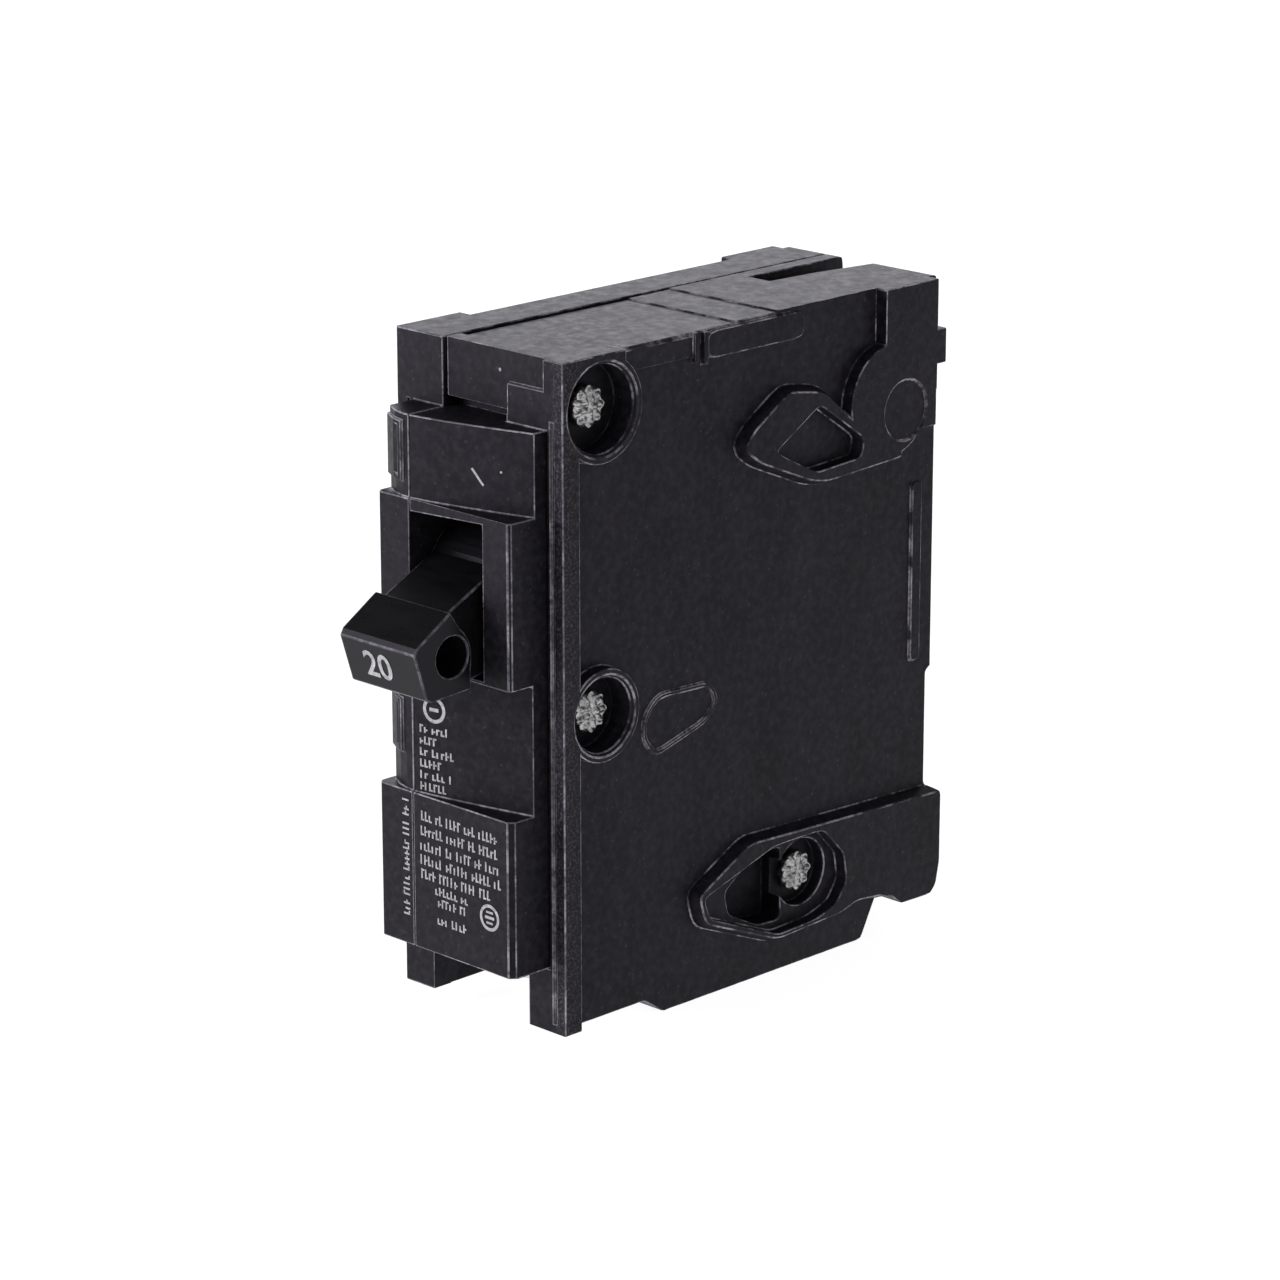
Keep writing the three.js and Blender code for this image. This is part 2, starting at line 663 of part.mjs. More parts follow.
function contactArm() {
  const beam = [
    [0, 2.1],
    [12, 1.6],
    [19.8, 1.0],
    [24.2, -1.9],
    [22.2, -3.6],
    [15, -3.2],
    [0, -2.1],
  ];
  const pad = onArmEnd(box(ARM.x - 2.4, ARM.x + 2.4, -2.8, 2.8, -0.8, 0.8));
  const body = fuse(
    plateX(beam, armX0, armX1),
    barX(0, 0, 2.2, armX0, armX1),
    pad,
    barX(ARM_HOOK_REACH, 0, 0.7, -5.9, armX1 - 0.2, 16),
  );
  return cut(body, barX(0, 0, 1.02, -4, 4, 20));
}
piece("contact_arm", contactArm(), COPPER, atArm);
piece(
  "moving_contact",
  onArmEnd(barZ(ARM.x, 0, 2.2, 0.9, 2.2, FACETS, 2.05)),
  SILVER,
  atArm,
);

// ---- line terminal ------------------------------------------------------------------------------
const closedEyeZ = HANDLE.z - HANDLE.reach * Math.sin(degrees(HANDLE.rest));
const contactY = armEye.y + ARM.length * Math.cos(degrees(ARM.closed));
const contactZ = closedEyeZ + ARM.length * Math.sin(degrees(ARM.closed));
const fixedContactZ = contactZ + 2.4;
const lineStrapZ = fixedContactZ + 1.3 + 0.8;
piece(
  "fixed_contact",
  barZ(ARM.x, contactY, 2.05, fixedContactZ, fixedContactZ + 1.2, FACETS, 2.2),
  SILVER,
);
piece(
  "line_strap",
  plateX(
    strip(
      [
        [contactY - 2.9, lineStrapZ],
        [46, lineStrapZ],
        [46, JAW.z1],
      ],
      1.5,
    ),
    -4.3,
    2.5,
  ),
  COPPER,
);

// Two sprung fingers that grip the bus stab, and the steel clip that backs them.
function jawLine(halfThroat, halfBase, halfMouth, baseY, tipY) {
  const right = [
    [JAW.x + halfBase, baseY],
    [JAW.x + halfBase, 51],
    [JAW.x + halfThroat, 54.6],
  ];
  if (halfMouth) right.push([JAW.x + halfMouth, tipY]);
  const left = right.map(([x, y]) => [2 * JAW.x - x, y]).reverse();
  return [...left, ...right];
}
piece("line_jaw", plateZ(strip(jawLine(1.15, 2.3, 2.3, 48.6, 57), 1.1), JAW.z0, JAW.z1), PLATED_COPPER);
piece("jaw_spring_clip", plateZ(strip(jawLine(2.3, 3.45, 0, 47.45), 0.6), 64.5, 70.5), SPRING_STEEL);

// ---- arc chute ----------------------------------------------------------------------------------
const PLATES = { count: 5, first: 49.4, pitch: 1.9, thick: 1.0, half: 7.05, tab: 0.85 };
function arcPlate(z0, grow = 0) {
  const x = ARM.x;
  const leaf = [
    [x - PLATES.half, 36],
    [x - 3.3, 36],
    [x - 3.3, 41.8],
    [x, 43.2],
    [x + 3.3, 41.8],
    [x + 3.3, 36],
    [x + PLATES.half, 36],
    [x + PLATES.half, 45.4],
    [x - PLATES.half, 45.4],
  ];
  const wide = PLATES.half + PLATES.tab + grow;
  const tabs = box(x - wide, x + wide, 38.8 - grow, 42.8 + grow, z0 - grow, z0 + PLATES.thick + grow);
  const middle = box(x - 5, x + 5, 30, 50, z0 - 1, z0 + 3);
  return { leaf: plateZ(leaf, z0, z0 + PLATES.thick), tabs: cut(tabs, middle) };
}
const plateLevels = Array.from({ length: PLATES.count }, (_, i) => PLATES.first + i * PLATES.pitch);
plateLevels.forEach((z, i) => {
  const { leaf, tabs } = arcPlate(z);
  piece("arc_plate_" + (i + 1), fuse(leaf, tabs), STEEL);
});
function arcFrame() {
  const inner = PLATES.half + 0.15;
  const outer = inner + 0.7;
  const walls = fuse(
    box(ARM.x - outer, ARM.x + outer, 35.6, 46.5, 48.4, 58.5),
  );
  const room = box(ARM.x - inner, ARM.x + inner, 30, 45.8, 40, 60);
  return cut(walls, room, plateLevels.map((z) => arcPlate(z, 0.15).tabs));
}
piece("arc_chute_frame", arcFrame(), FIBRE);

// ---- trip cradle and toggle spring --------------------------------------------------------------
function tripCradle() {
  const lever = [
    [10.1, 62],
    [11, 52],
    [12, 45.5],
    [14.2, 36],
    [15.1, 27.4],
    [19.2, 27.2],
    [19.2, 29.6],
    [18, 31.8],
    [17.6, 37],
    [16.8, 46],
    [16.3, 53],
    [15.9, 62],
  ];
  const body = fuse(
    plateX(outline(lever, 0.8), CRADLE.x0, CRADLE.x1),
    barX(CRADLE.y, CRADLE.z, 3, CRADLE.x0, CRADLE.x1),
    barX(CRADLE_HOOK.y, CRADLE_HOOK.z, 0.75, CRADLE.x0 + 0.4, -2.6, 16),
  );
  return cut(body, barX(CRADLE.y, CRADLE.z, 1.4, -9, -5));
}
piece("trip_cradle", tripCradle(), STEEL);
piece("cradle_pin", barX(CRADLE.y, CRADLE.z, 1.3, -9.2, -3.2, 20), ZINC_STEEL);

// A close coil between two pegs, with a hook bent round each of them.
function toggleSpring() {
  const x = -4;
  const coil = { r: 1.15, wire: 0.28, turns: 8, clear: 2.6 };
  const from = new THREE.Vector2(CRADLE_HOOK.y, CRADLE_HOOK.z);
  const to = new THREE.Vector2(
    armEye.y + ARM_HOOK_REACH * Math.cos(degrees(ARM.rest)),
    armEye.z + ARM_HOOK_REACH * Math.sin(degrees(ARM.rest)),
  );
  const along = to.clone().sub(from).normalize();
  const across = new THREE.Vector2(-along.y, along.x);
  const length = from.distanceTo(to);
  const at = (s, n, deep) => {
    const p = from.clone().addScaledVector(along, s).addScaledVector(across, n);
    return new THREE.Vector3(x + deep, p.x, p.y);
  };
  const points = [];
  const hook = (middle, firstAngle) => {
    for (let i = 0; i <= 6; i++) {
      const angle = degrees(firstAngle + 45 * i);
      points.push(at(middle + coil.r * Math.cos(angle), coil.r * Math.sin(angle), 0));
    }
  };
  hook(0, 50);
  const steps = coil.turns * 8;
  for (let i = 0; i <= steps; i++) {
    const turn = (2 * Math.PI * coil.turns * i) / steps;
    const s = coil.clear + ((length - 2 * coil.clear) * i) / steps;
    points.push(at(s, -coil.r * Math.cos(turn), coil.r * Math.sin(turn)));
  }
  hook(length, 220);
  return wire(points, coil.wire);
}
piece("toggle_spring", toggleSpring(), SPRING_STEEL);

// ---- load path: lug, strap, bimetal, braid ------------------------------------------------------
const sx = STRAP_X;
const lugOuter = box(sx - LUG.half, sx + LUG.half, LUG.y0, LUG.y1, LUG.z0, LUG.z1);
const lugInner = box(
  sx - LUG.half + LUG.wall,
  sx + LUG.half - LUG.wall,
  LUG.y0 + LUG.wall,
  LUG.y1 - LUG.wall,
  LUG.z0 - 1,
  LUG.z1 + 1,
);
piece(
  "lug_box",
  cut(lugOuter, lugInner, barY(sx, LUG_SCREW.z, LUG_SCREW.r + 0.08, LUG.y0 - 1, LUG.y0 + 3, 32)),
  ALUMINIUM,
);
function lugScrew() {
  const body = fuse(
    barY(sx, LUG_SCREW.z, LUG_SCREW.r, LUG_SCREW.y0, LUG_SCREW.y1, 32),
    barY(sx, LUG_SCREW.z, 1.1, LUG_SCREW.y1 - 0.5, LUG_SCREW.y1 + 1.1, 16),
  );
  const slot = box(sx - 4, sx + 4, LUG_SCREW.y0 - 1, LUG_SCREW.y0 + 1.4, LUG_SCREW.z - 0.55, LUG_SCREW.z + 0.55);
  return cut(body, slot);
}
piece("lug_screw", lugScrew(), ZINC_STEEL);
const clampY = LUG_SCREW.y1 + 0.3;
piece(
  "wire_clamp_plate",
  cut(
    box(sx - 3.6, sx + 3.6, clampY, clampY + 1.4, 3.1, 10.4),
    barY(sx, LUG_SCREW.z, 1.25, clampY - 1, clampY + 3, 16),
  ),
  ZINC_STEEL,
);

const BIMETAL_Z = 20.6;
const LOAD_STRAP_Z = 17.2;
const CALIBRATION = { y: 45.5, r: 1.5 };
piece(
  "load_strap",
  cut(
    plateX(
      strip(
        [
          [19.5, 3.4],
          [19.5, 13.2],
          [24.6, 13.2],
          [30.6, LOAD_STRAP_Z],
          [50.7, LOAD_STRAP_Z],
          [50.7, 22.3],
          [43.5, 22.3],
        ],
        1.5,
      ),
      sx - 3.6,
      sx + 3.6,
    ),
    barZ(sx, CALIBRATION.y, CALIBRATION.r + 0.1, LOAD_STRAP_Z - 2, LOAD_STRAP_Z + 2),
  ),
  COPPER,
);
piece(
  "bimetal_strip",
  plateX(rectangle(25.4, 49.5, BIMETAL_Z - 0.6, BIMETAL_Z + 0.6), sx - 3.4, sx + 3.4),
  BIMETAL,
);
function calibrationScrew() {
  const { y, r } = CALIBRATION;
  const shank = barZ(sx, y, r, 12.4, BIMETAL_Z - 0.8);
  const head = barZ(sx, y, 2.3, 10.8, 12.6);
  return cut(fuse(shank, head), box(sx - 3, sx + 3, y - 0.4, y + 0.4, 10, 11.7));
}
piece("calibration_screw", calibrationScrew(), ZINC_STEEL);

// Woven copper strap from the bimetal's free end up to the contact arm.
function braid() {
  const route = new THREE.SplineCurve(
    [
      [27.4, 19],
      [22, 18.6],
      [16.5, 19.8],
      [13.4, 24],
      [12.9, 31],
      [15.6, 38],
      [19.8, 43.5],
      [22.7, 49.2],
    ].map((p) => new THREE.Vector2(...p)),
  );
  const line = route.getPoints(21).map((p) => p.toArray());
  return plateX(strip(line, 1.3), ARM.x - 1.5, ARM.x + 1.5);
}
piece("copper_braid", braid(), COPPER);

// ---- magnetic trip ------------------------------------------------------------------------------
function magnetYoke() {
  const cheek = [
    [28, 18.25],
    [40.6, 18.25],
    [40.6, 28],
    [37.4, 28],
    [37.4, 23.4],
    [28, 23.4],
  ];
  const body = fuse(
    plateX(outline(cheek, 0.6), sx - 5.3, sx - 4.1),
    plateX(outline(cheek, 0.6), sx + 4.1, sx + 5.3),
    box(sx - 4.6, sx + 4.6, 28, 37.4, 18.25, 19.7),
  );
  return cut(body, barX(ARMATURE_PIVOT.y, ARMATURE_PIVOT.z, 0.8, sx - 8, sx + 8, 16));
}
piece("magnet_yoke", magnetYoke(), STEEL);
function armature() {
  const z0 = ARMATURE_PIVOT.z - 0.6;
  const z1 = ARMATURE_PIVOT.z + 0.6;
  return fuse(
    plateZ(rectangle(sx - 5.4, sx + 5.4, 20, 36.6, 0.6), z0, z1),
    box(sx - 3.8, sx + 3.8, 36, 40.2, z0, z1),
    plateZ(rectangle(-8.1, -5, 19.6, 24, 0.5), z0, z1),
    barX(ARMATURE_PIVOT.y, ARMATURE_PIVOT.z, 0.72, sx - 5.2, sx + 5.2, 16),
  );
}
piece("trip_armature", armature(), STEEL);
function armatureSpring() {
  const coil = { y: 27.2, r: 1.25, wire: 0.2, turns: 4, z0: BIMETAL_Z + 0.9, z1: ARMATURE_PIVOT.z - 0.9 };
  const points = [];
  const steps = coil.turns * 10;
  for (let i = 0; i <= steps; i++) {
    const turn = (2 * Math.PI * coil.turns * i) / steps;
    const share = THREE.MathUtils.clamp((i / steps - 0.1) / 0.8, 0, 1);
    const z = coil.z0 + (coil.z1 - coil.z0) * (0.12 * (i / steps) + 0.88 * share);
    points.push(new THREE.Vector3(sx + coil.r * Math.cos(turn), coil.y + coil.r * Math.sin(turn), z));
  }
  return wire(points, coil.wire, 5);
}
piece("armature_spring", armatureSpring(), SPRING_STEEL);

group.position.y = -CENTRE_Y;
group.updateMatrixWorld(true);

export default group;
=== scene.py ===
"""Looks of a plug-on single-pole circuit breaker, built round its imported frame.

Metres, +Z up, the breaker stands on its lower end with its handle towards -Y.
The places that the case's material works with are in millimetres, as its shader coordinates are.
"""
import math
import random

import bpy
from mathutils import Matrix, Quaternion, Vector
from mathutils.bvhtree import BVHTree


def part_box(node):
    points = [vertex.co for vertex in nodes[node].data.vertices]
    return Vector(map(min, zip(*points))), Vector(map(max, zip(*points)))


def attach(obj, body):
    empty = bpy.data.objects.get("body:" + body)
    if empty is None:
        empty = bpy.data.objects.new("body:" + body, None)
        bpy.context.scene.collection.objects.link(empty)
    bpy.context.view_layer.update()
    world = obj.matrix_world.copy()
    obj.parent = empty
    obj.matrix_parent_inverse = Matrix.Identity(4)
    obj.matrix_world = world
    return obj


MM = 0.001

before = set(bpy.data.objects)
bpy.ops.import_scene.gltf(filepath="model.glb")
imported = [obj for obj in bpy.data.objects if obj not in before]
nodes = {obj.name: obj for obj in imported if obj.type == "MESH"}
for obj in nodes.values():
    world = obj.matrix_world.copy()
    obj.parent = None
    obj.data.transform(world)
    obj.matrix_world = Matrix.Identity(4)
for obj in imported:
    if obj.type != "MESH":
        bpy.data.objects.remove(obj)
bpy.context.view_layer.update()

base_low, base_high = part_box("base_shell")
SEAM_X = (base_low.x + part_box("cover_shell")[1].x) / 2 / MM
HALF_WIDTH = base_high.x / MM
TOP_Z = base_high.z / MM
BACK_Y = base_high.y / MM
FLANGE_Y = BACK_Y - 60.6  # front face of the flange, behind the raised blocks
WALL_X = HALF_WIDTH - 1.55  # outer face of the recessed side walls
LIP_X = HALF_WIDTH - 1.4  # from here out, the flange's corner is chafed


# ---------------------------------------------------------------- shader helpers

class Shader:
    """One procedural material, with short calls to add and join its nodes."""

    def __init__(self, name):
        self.material = bpy.data.materials.new(name)
        self.material.use_nodes = True
        self.tree = self.material.node_tree
        self.tree.nodes.clear()
        place = self.add("TexCoord").outputs["Object"]
        self.mm = self.add("VectorMath", {0: place, "Scale": 1 / MM}, operation="SCALE").outputs[0]

    def add(self, kind, inputs=None, **settings):
        """A new node. An input is either another node's output or a plain value."""
        node = self.tree.nodes.new("ShaderNode" + kind)
        for key, value in settings.items():
            setattr(node, key, value)
        for key, value in (inputs or {}).items():
            if isinstance(value, bpy.types.NodeSocket):
                self.tree.links.new(value, node.inputs[key])
            else:
                node.inputs[key].default_value = value
        return node

    def stretched(self, along):
        """Coordinates in millimetres, squeezed along the axes so that a pattern runs in streaks."""
        return self.add("VectorMath", {0: self.mm, 1: along}, operation="MULTIPLY").outputs[0]

    def noise(self, scale, detail=4.0, rough=0.55, at=None):
        made = self.add("TexNoise", {
            "Vector": at or self.mm, "Scale": scale, "Detail": detail, "Roughness": rough})
        return made.outputs["Fac"]

    def cells(self, scale):
        """Distance from the middle of the nearest of many scattered cells."""
        return self.add("TexVoronoi", {"Vector": self.mm, "Scale": scale}).outputs["Distance"]

    def fit(self, value, low, high, to_low=0.0, to_high=1.0):
        """value, moved from low..high to to_low..to_high and kept inside it."""
        made = self.add("MapRange", {
            "Value": value, "From Min": low, "From Max": high,
            "To Min": to_low, "To Max": to_high})
        return made.outputs["Result"]

    def math(self, operation, a, b=0.0):
        return self.add("Math", {0: a, 1: b}, operation=operation).outputs[0]

    def product(self, value, *factors):
        """value multiplied by each factor in turn."""
        for factor in factors:
            value = self.math("MULTIPLY", value, factor)
        return value

    def mix(self, share, a, b):
        """Colour a, with a share of colour b."""
        return self.add("Mix", {0: share, 6: a, 7: b}, data_type="RGBA").outputs[2]

    def bump(self, height, strength, distance, under=None):
        """A normal bent by the height, on top of another bump if one is under it."""
        inputs = {"Height": height, "Strength": strength, "Distance": distance}
        if under:
            inputs["Normal"] = under
        return self.add("Bump", inputs).outputs["Normal"]

    def finish(self, **sockets):
        """Joins the surface's sockets up and gives the finished material."""
        surface = self.add("BsdfPrincipled", {
            key.replace("_", " "): value for key, value in sockets.items()})
        self.add("OutputMaterial", {"Surface": surface.outputs[0]})
        return self.material


def grey(level, warm=0.0):
    """A grey, turned towards red by warm."""
    return (level * (1 + warm), level, level * (1 - warm), 1.0)


# ---------------------------------------------------------------- plastics

PHENOLIC_BLACK = (0.0066, 0.0058, 0.0082, 1.0)
PHENOLIC_LIGHTER = (0.0112, 0.0099, 0.0136, 1.0)
FILLER_GREY = (0.085, 0.082, 0.09, 1.0)
WORN_GREY = (0.36, 0.34, 0.38, 1.0)
# colour of the painted shade in the recesses under the side walls
PAINTED_SHADE_BLACK = (0.0015, 0.0014, 0.0018, 1.0)
COOL_SHEEN = (0.92, 0.88, 1.0, 1.0)


def before_flange(s, axes):
    """1 on the raised blocks and the flange's front, down to 0 a few millimetres behind it."""
    return s.fit(axes["Y"], FLANGE_Y + 0.5, FLANGE_Y + 4.0, 1.0, 0.0)


def below_walls(s, axes):
    """1 wherever the surface lies under the side walls, away from the flange, the back and the top."""
    off_middle = s.math("ABSOLUTE", axes["X"])
    return s.product(
        s.fit(off_middle, WALL_X - 0.6, WALL_X - 0.3, 1.0, 0.0),
        s.fit(axes["Y"], FLANGE_Y + 3.2, FLANGE_Y + 3.6),
        s.fit(axes["Y"], BACK_Y - 4.5, BACK_Y - 4.0, 1.0, 0.0),
        s.fit(axes["Z"], TOP_Z - 1.0, TOP_Z - 0.6, 1.0, 0.0))


def moulded_body(s, scuffs):
    """The phenolic's own colour: flow marks, clouds and specks of filler, and scuffs."""
    flow = s.noise(0.16, 3.0, at=s.stretched((1.0, 1.0, 0.45)))
    body = s.mix(s.fit(flow, 0.35, 0.7), PHENOLIC_BLACK, PHENOLIC_LIGHTER)
    body = s.mix(s.fit(s.noise(1.1, 3.0), 0.4, 0.7, 0.0, 0.13), body, FILLER_GREY)
    is_speck = s.fit(s.cells(0.95), 0.2, 0.06)
    is_chosen = s.math("GREATER_THAN", s.noise(0.4, 2.0), 0.52)
    body = s.mix(s.product(is_speck, is_chosen, 0.28), body, FILLER_GREY)
    return s.mix(s.fit(scuffs, 0.6, 0.8, 0.0, 0.4), body, FILLER_GREY)


def edge_wear(s, axes, in_front, sunk):
    """How far an edge is worn pale: in patches, more in front and along the seam, hardly where sunk."""
    grit = s.noise(2.2, 3.0, 0.7)
    patches = s.fit(s.noise(0.34, 3.0, 0.65), 0.44, 0.6, 0.07, 1.0)
    off_seam = s.math("ABSOLUTE", s.math("SUBTRACT", axes["X"], SEAM_X))
    at_seam = s.fit(off_seam, 0.3, 0.6, 1.0, 0.0)
    patches = s.math("MAXIMUM", patches, s.product(in_front, 0.4))
    patches = s.math("MAXIMUM", patches, s.product(in_front, at_seam))
    return s.product(patches, s.fit(sunk, 0.0, 1.0, 1.0, 0.1), s.fit(grit, 0.34, 0.56, 0.4, 1.0))


def phenolic(name, worn):
    """Moulded phenolic, chafed at the flange's lip, with painted shade where sunk, and worn pale where worn
    > 0.
    """
    s = Shader(name)
    scuffs = s.noise(0.9, 6.0, 0.7)
    axes = s.add("SeparateXYZ", {0: s.mm}).outputs
    in_front = before_flange(s, axes)
    sunk = below_walls(s, axes)
    on_lip = s.fit(axes["X"], LIP_X - 0.4, LIP_X + 0.2)
    rubbed = s.fit(s.noise(3.0, 4.0, 0.7), 0.5, 0.66, 0.0, 0.17)
    body = s.mix(s.product(on_lip, in_front, rubbed), moulded_body(s, scuffs), WORN_GREY)
    # painted shade: surfaces sunk under the side walls are darkened towards black, standing in for the
    # shadow in those recesses
    body = s.mix(s.product(sunk, 0.45), body, PAINTED_SHADE_BLACK)
    if worn:
        body = s.mix(s.product(edge_wear(s, axes, in_front, sunk), worn), body, WORN_GREY)
    grain = s.bump(s.noise(2.4, 5.0, 0.65), 0.22, 0.03 * MM)
    return s.finish(
        Base_Color=body,
        Roughness=s.fit(scuffs, 0.3, 0.75, 0.36, 0.56),
        Specular_IOR_Level=s.fit(sunk, 0.0, 1.0, 0.095, 0.075),
        Specular_Tint=COOL_SHEEN,
        Normal=s.bump(s.noise(0.12, 2.0), 0.25, 0.35 * MM, grain))


def gloss_plastic(name, worn):
    """The handle's harder, glossier moulding, with hair-fine rub marks."""
    s = Shader(name)
    rub = s.noise(0.7, 5.0, 0.6, at=s.stretched((0.25, 1.0, 1.0)))
    tone = s.mix(s.fit(rub, 0.4, 0.75), (0.004, 0.0038, 0.0044, 1), (0.007, 0.0068, 0.0076, 1))
    if worn:
        tone = s.mix(s.fit(s.noise(1.1, 4.0), 0.42, 0.66, 0.12, worn), tone, WORN_GREY)
    bumps = s.bump(s.noise(1.6, 4.0), 0.12, 0.02 * MM)
    return s.finish(
        Base_Color=tone,
        Roughness=s.fit(rub, 0.3, 0.8, 0.24, 0.36),
        Specular_IOR_Level=0.14,
        Specular_Tint=COOL_SHEEN,
        Normal=bumps)


def print_ink(name):
    """Off-white pad-printed ink, thin in places."""
    s = Shader(name)
    thin = s.noise(1.7, 5.0, 0.7)
    tone = s.mix(s.fit(thin, 0.38, 0.68), (0.24, 0.23, 0.24, 1), (0.52, 0.51, 0.52, 1))
    return s.finish(
        Base_Color=tone,
        Roughness=s.fit(thin, 0.3, 0.8, 0.55, 0.8),
        Normal=s.bump(s.noise(4.0, 3.0), 0.2, 0.02 * MM))


# ---------------------------------------------------------------- metals and fibre

def metal(name, dark, bright, rough, grain=(1, 1, 1), pits=0.0):
    """A metal whose tone and gloss vary with its rolled, drawn or plated grain, pitted where pits > 0."""
    s = Shader(name)
    streaks = s.noise(2.0, 5.0, 0.6, at=s.stretched(grain))
    stain = s.noise(0.3, 4.0, 0.6)
    tone = s.mix(s.fit(streaks, 0.3, 0.72), dark, bright)
    tone = s.mix(s.fit(stain, 0.5, 0.8, 0.0, 0.45), tone, dark)
    bumps = s.bump(streaks, 0.25, 0.03 * MM)
    if pits:
        cells = s.cells(1.7)
        bumps = s.bump(s.fit(cells, 0.08, 0.42), pits, 0.25 * MM, bumps)
        tone = s.mix(s.fit(cells, 0.3, 0.05, 0.0, 0.55), tone, dark)
    return s.finish(
        Base_Color=tone,
        Metallic=1.0,
        Roughness=s.fit(stain, 0.3, 0.75, rough, min(1.0, rough + 0.22)),
        Normal=bumps)


def fibre_board(name):
    """Brown vulcanised fibre with a coarse weave."""
    s = Shader(name)
    weave = s.noise(1.4, 6.0, 0.7, at=s.stretched((0.3, 1.0, 1.0)))
    tone = s.mix(s.fit(weave, 0.3, 0.7), (0.20, 0.14, 0.08, 1), (0.40, 0.30, 0.19, 1))
    return s.finish(
        Base_Color=tone,
        Roughness=s.fit(weave, 0.3, 0.7, 0.72, 0.92),
        Normal=s.bump(weave, 0.5, 0.06 * MM))


def make_materials():
    """Each kind's two finishes: its faces' and its rounded edges'. They differ where edges wear."""
    x_grain, z_grain = (0.12, 1, 1), (1, 1, 0.12)
    wearing = {
        "case": (phenolic("phenolic", 0.0), phenolic("phenolic_worn_edge", 0.95)),
        "handle": (gloss_plastic("handle_plastic", 0.0), gloss_plastic("handle_worn_edge", 0.4)),
    }
    even = {
        "zinc_steel": metal("zinc_steel", grey(0.34), grey(0.72), 0.22),
        "rivet": metal("rivet_metal", grey(0.16), grey(0.58), 0.28, pits=0.3),
        "steel": metal("stamped_steel", grey(0.22), grey(0.46), 0.32, x_grain),
        "spring_steel": metal("spring_steel", grey(0.11), grey(0.27), 0.28, z_grain),
        "copper": metal("copper", (0.30, 0.12, 0.06, 1), (0.78, 0.40, 0.25, 1), 0.26, z_grain),
        "plated_copper": metal("tin_plate", grey(0.28, 0.04), grey(0.56, 0.03), 0.3, z_grain),
        "silver": metal("contact_silver", grey(0.42), grey(0.86, 0.02), 0.24),
        "bimetal": metal("bimetal", grey(0.24, 0.1), grey(0.50, 0.07), 0.32, z_grain),
        "aluminium": metal("lug_aluminium", grey(0.38), grey(0.72), 0.3, z_grain),
        "fibre": fibre_board("fibre_board"),
    }
    return wearing | {kind: (finish, finish) for kind, finish in even.items()}


# ---------------------------------------------------------------- CAD nodes

FINISH_OF = {
    "case": ["base_shell", "cover_shell"],
    "handle": ["handle"],
    "rivet": ["case_rivet_upper", "case_rivet_middle", "case_rivet_lower"],
    "zinc_steel": ["lug_screw", "wire_clamp_plate", "calibration_screw", "arm_pivot_pin", "cradle_pin"],
    "steel": ["magnet_yoke", "trip_armature", "trip_cradle"] + [f"arc_plate_{i}" for i in range(1, 6)],
    "spring_steel": ["jaw_spring_clip", "toggle_spring", "armature_spring"],
    "copper": ["contact_arm", "copper_braid", "load_strap"],
    "plated_copper": ["line_strap", "line_jaw"],
    "silver": ["moving_contact", "fixed_contact"],
    "bimetal": ["bimetal_strip"],
    "aluminium": ["lug_box"],
    "fibre": ["arc_chute_frame"],
}
EDGE_WIDTH = {"case": 0.14, "handle": 0.2, "rivet": 0.06, "fibre": 0.05}  # millimetres
SMALL_EDGE = 0.07  # for every other kind
FLAT_AREA = 6.0 * MM * MM  # a smaller flat is taken for one facet of a curved wall


def shade_flats_flat(mesh):
    """Shades the triangles of every broad flat face flat and the facets of curved walls smooth."""
    area_of = {}
    plane_of = []
    for face in mesh.polygons:
        n = face.normal
        offset = n.dot(face.center) / MM
        plane = (round(n.x, 2), round(n.y, 2), round(n.z, 2), round(offset, 1))
        plane_of.append(plane)
        area_of[plane] = area_of.get(plane, 0.0) + face.area
    mesh.polygons.foreach_set("use_smooth", [area_of[plane] < FLAT_AREA for plane in plane_of])


def dress(name, finishes, width):
    """Gives a node its finish and rounds its edges, which take the edge finish.

    The flats are merged and split evenly first, so that fewer thin triangles fold over at the rounds.
    """
    node = nodes[name]
    mesh = node.data
    mesh.materials.clear()
    for finish in finishes:
        mesh.materials.append(finish)
    mesh.polygons.foreach_set("material_index", [0] * len(mesh.polygons))
    shade_flats_flat(mesh)
    weld = node.modifiers.new("weld", "WELD")
    weld.merge_threshold = 0.002 * MM
    merge = node.modifiers.new("merge_flats", "DECIMATE")
    merge.decimate_type = "DISSOLVE"
    merge.angle_limit = math.radians(0.4)
    node.modifiers.new("split_flats_evenly", "TRIANGULATE").ngon_method = "BEAUTY"
    bevel = node.modifiers.new("round_edges", "BEVEL")
    bevel.width = width * MM
    bevel.segments = 2
    bevel.limit_method = "ANGLE"
    bevel.angle_limit = math.radians(33)
    bevel.use_clamp_overlap = False
    bevel.material = 1


def dress_all(materials):
    """Dresses every CAD node in its kind's finishes."""
    for kind, names in FINISH_OF.items():
        for name in names:
            dress(name, materials[kind], EDGE_WIDTH.get(kind, SMALL_EDGE))


# ---------------------------------------------------------------- printed marks

INK_LIFT = 0.02 * MM  # from the surface to the ink's underside
INK_DEPTH = 0.03 * MM
FAR = 200 * MM  # clear of every node

# sizes of the strokes that stand for small print, in millimetres
PEN = 0.105
LETTER_WIDTH = 0.4
LETTER_STEP = 0.6
LETTER_ARM = 0.36
WORD_GAP = 0.45


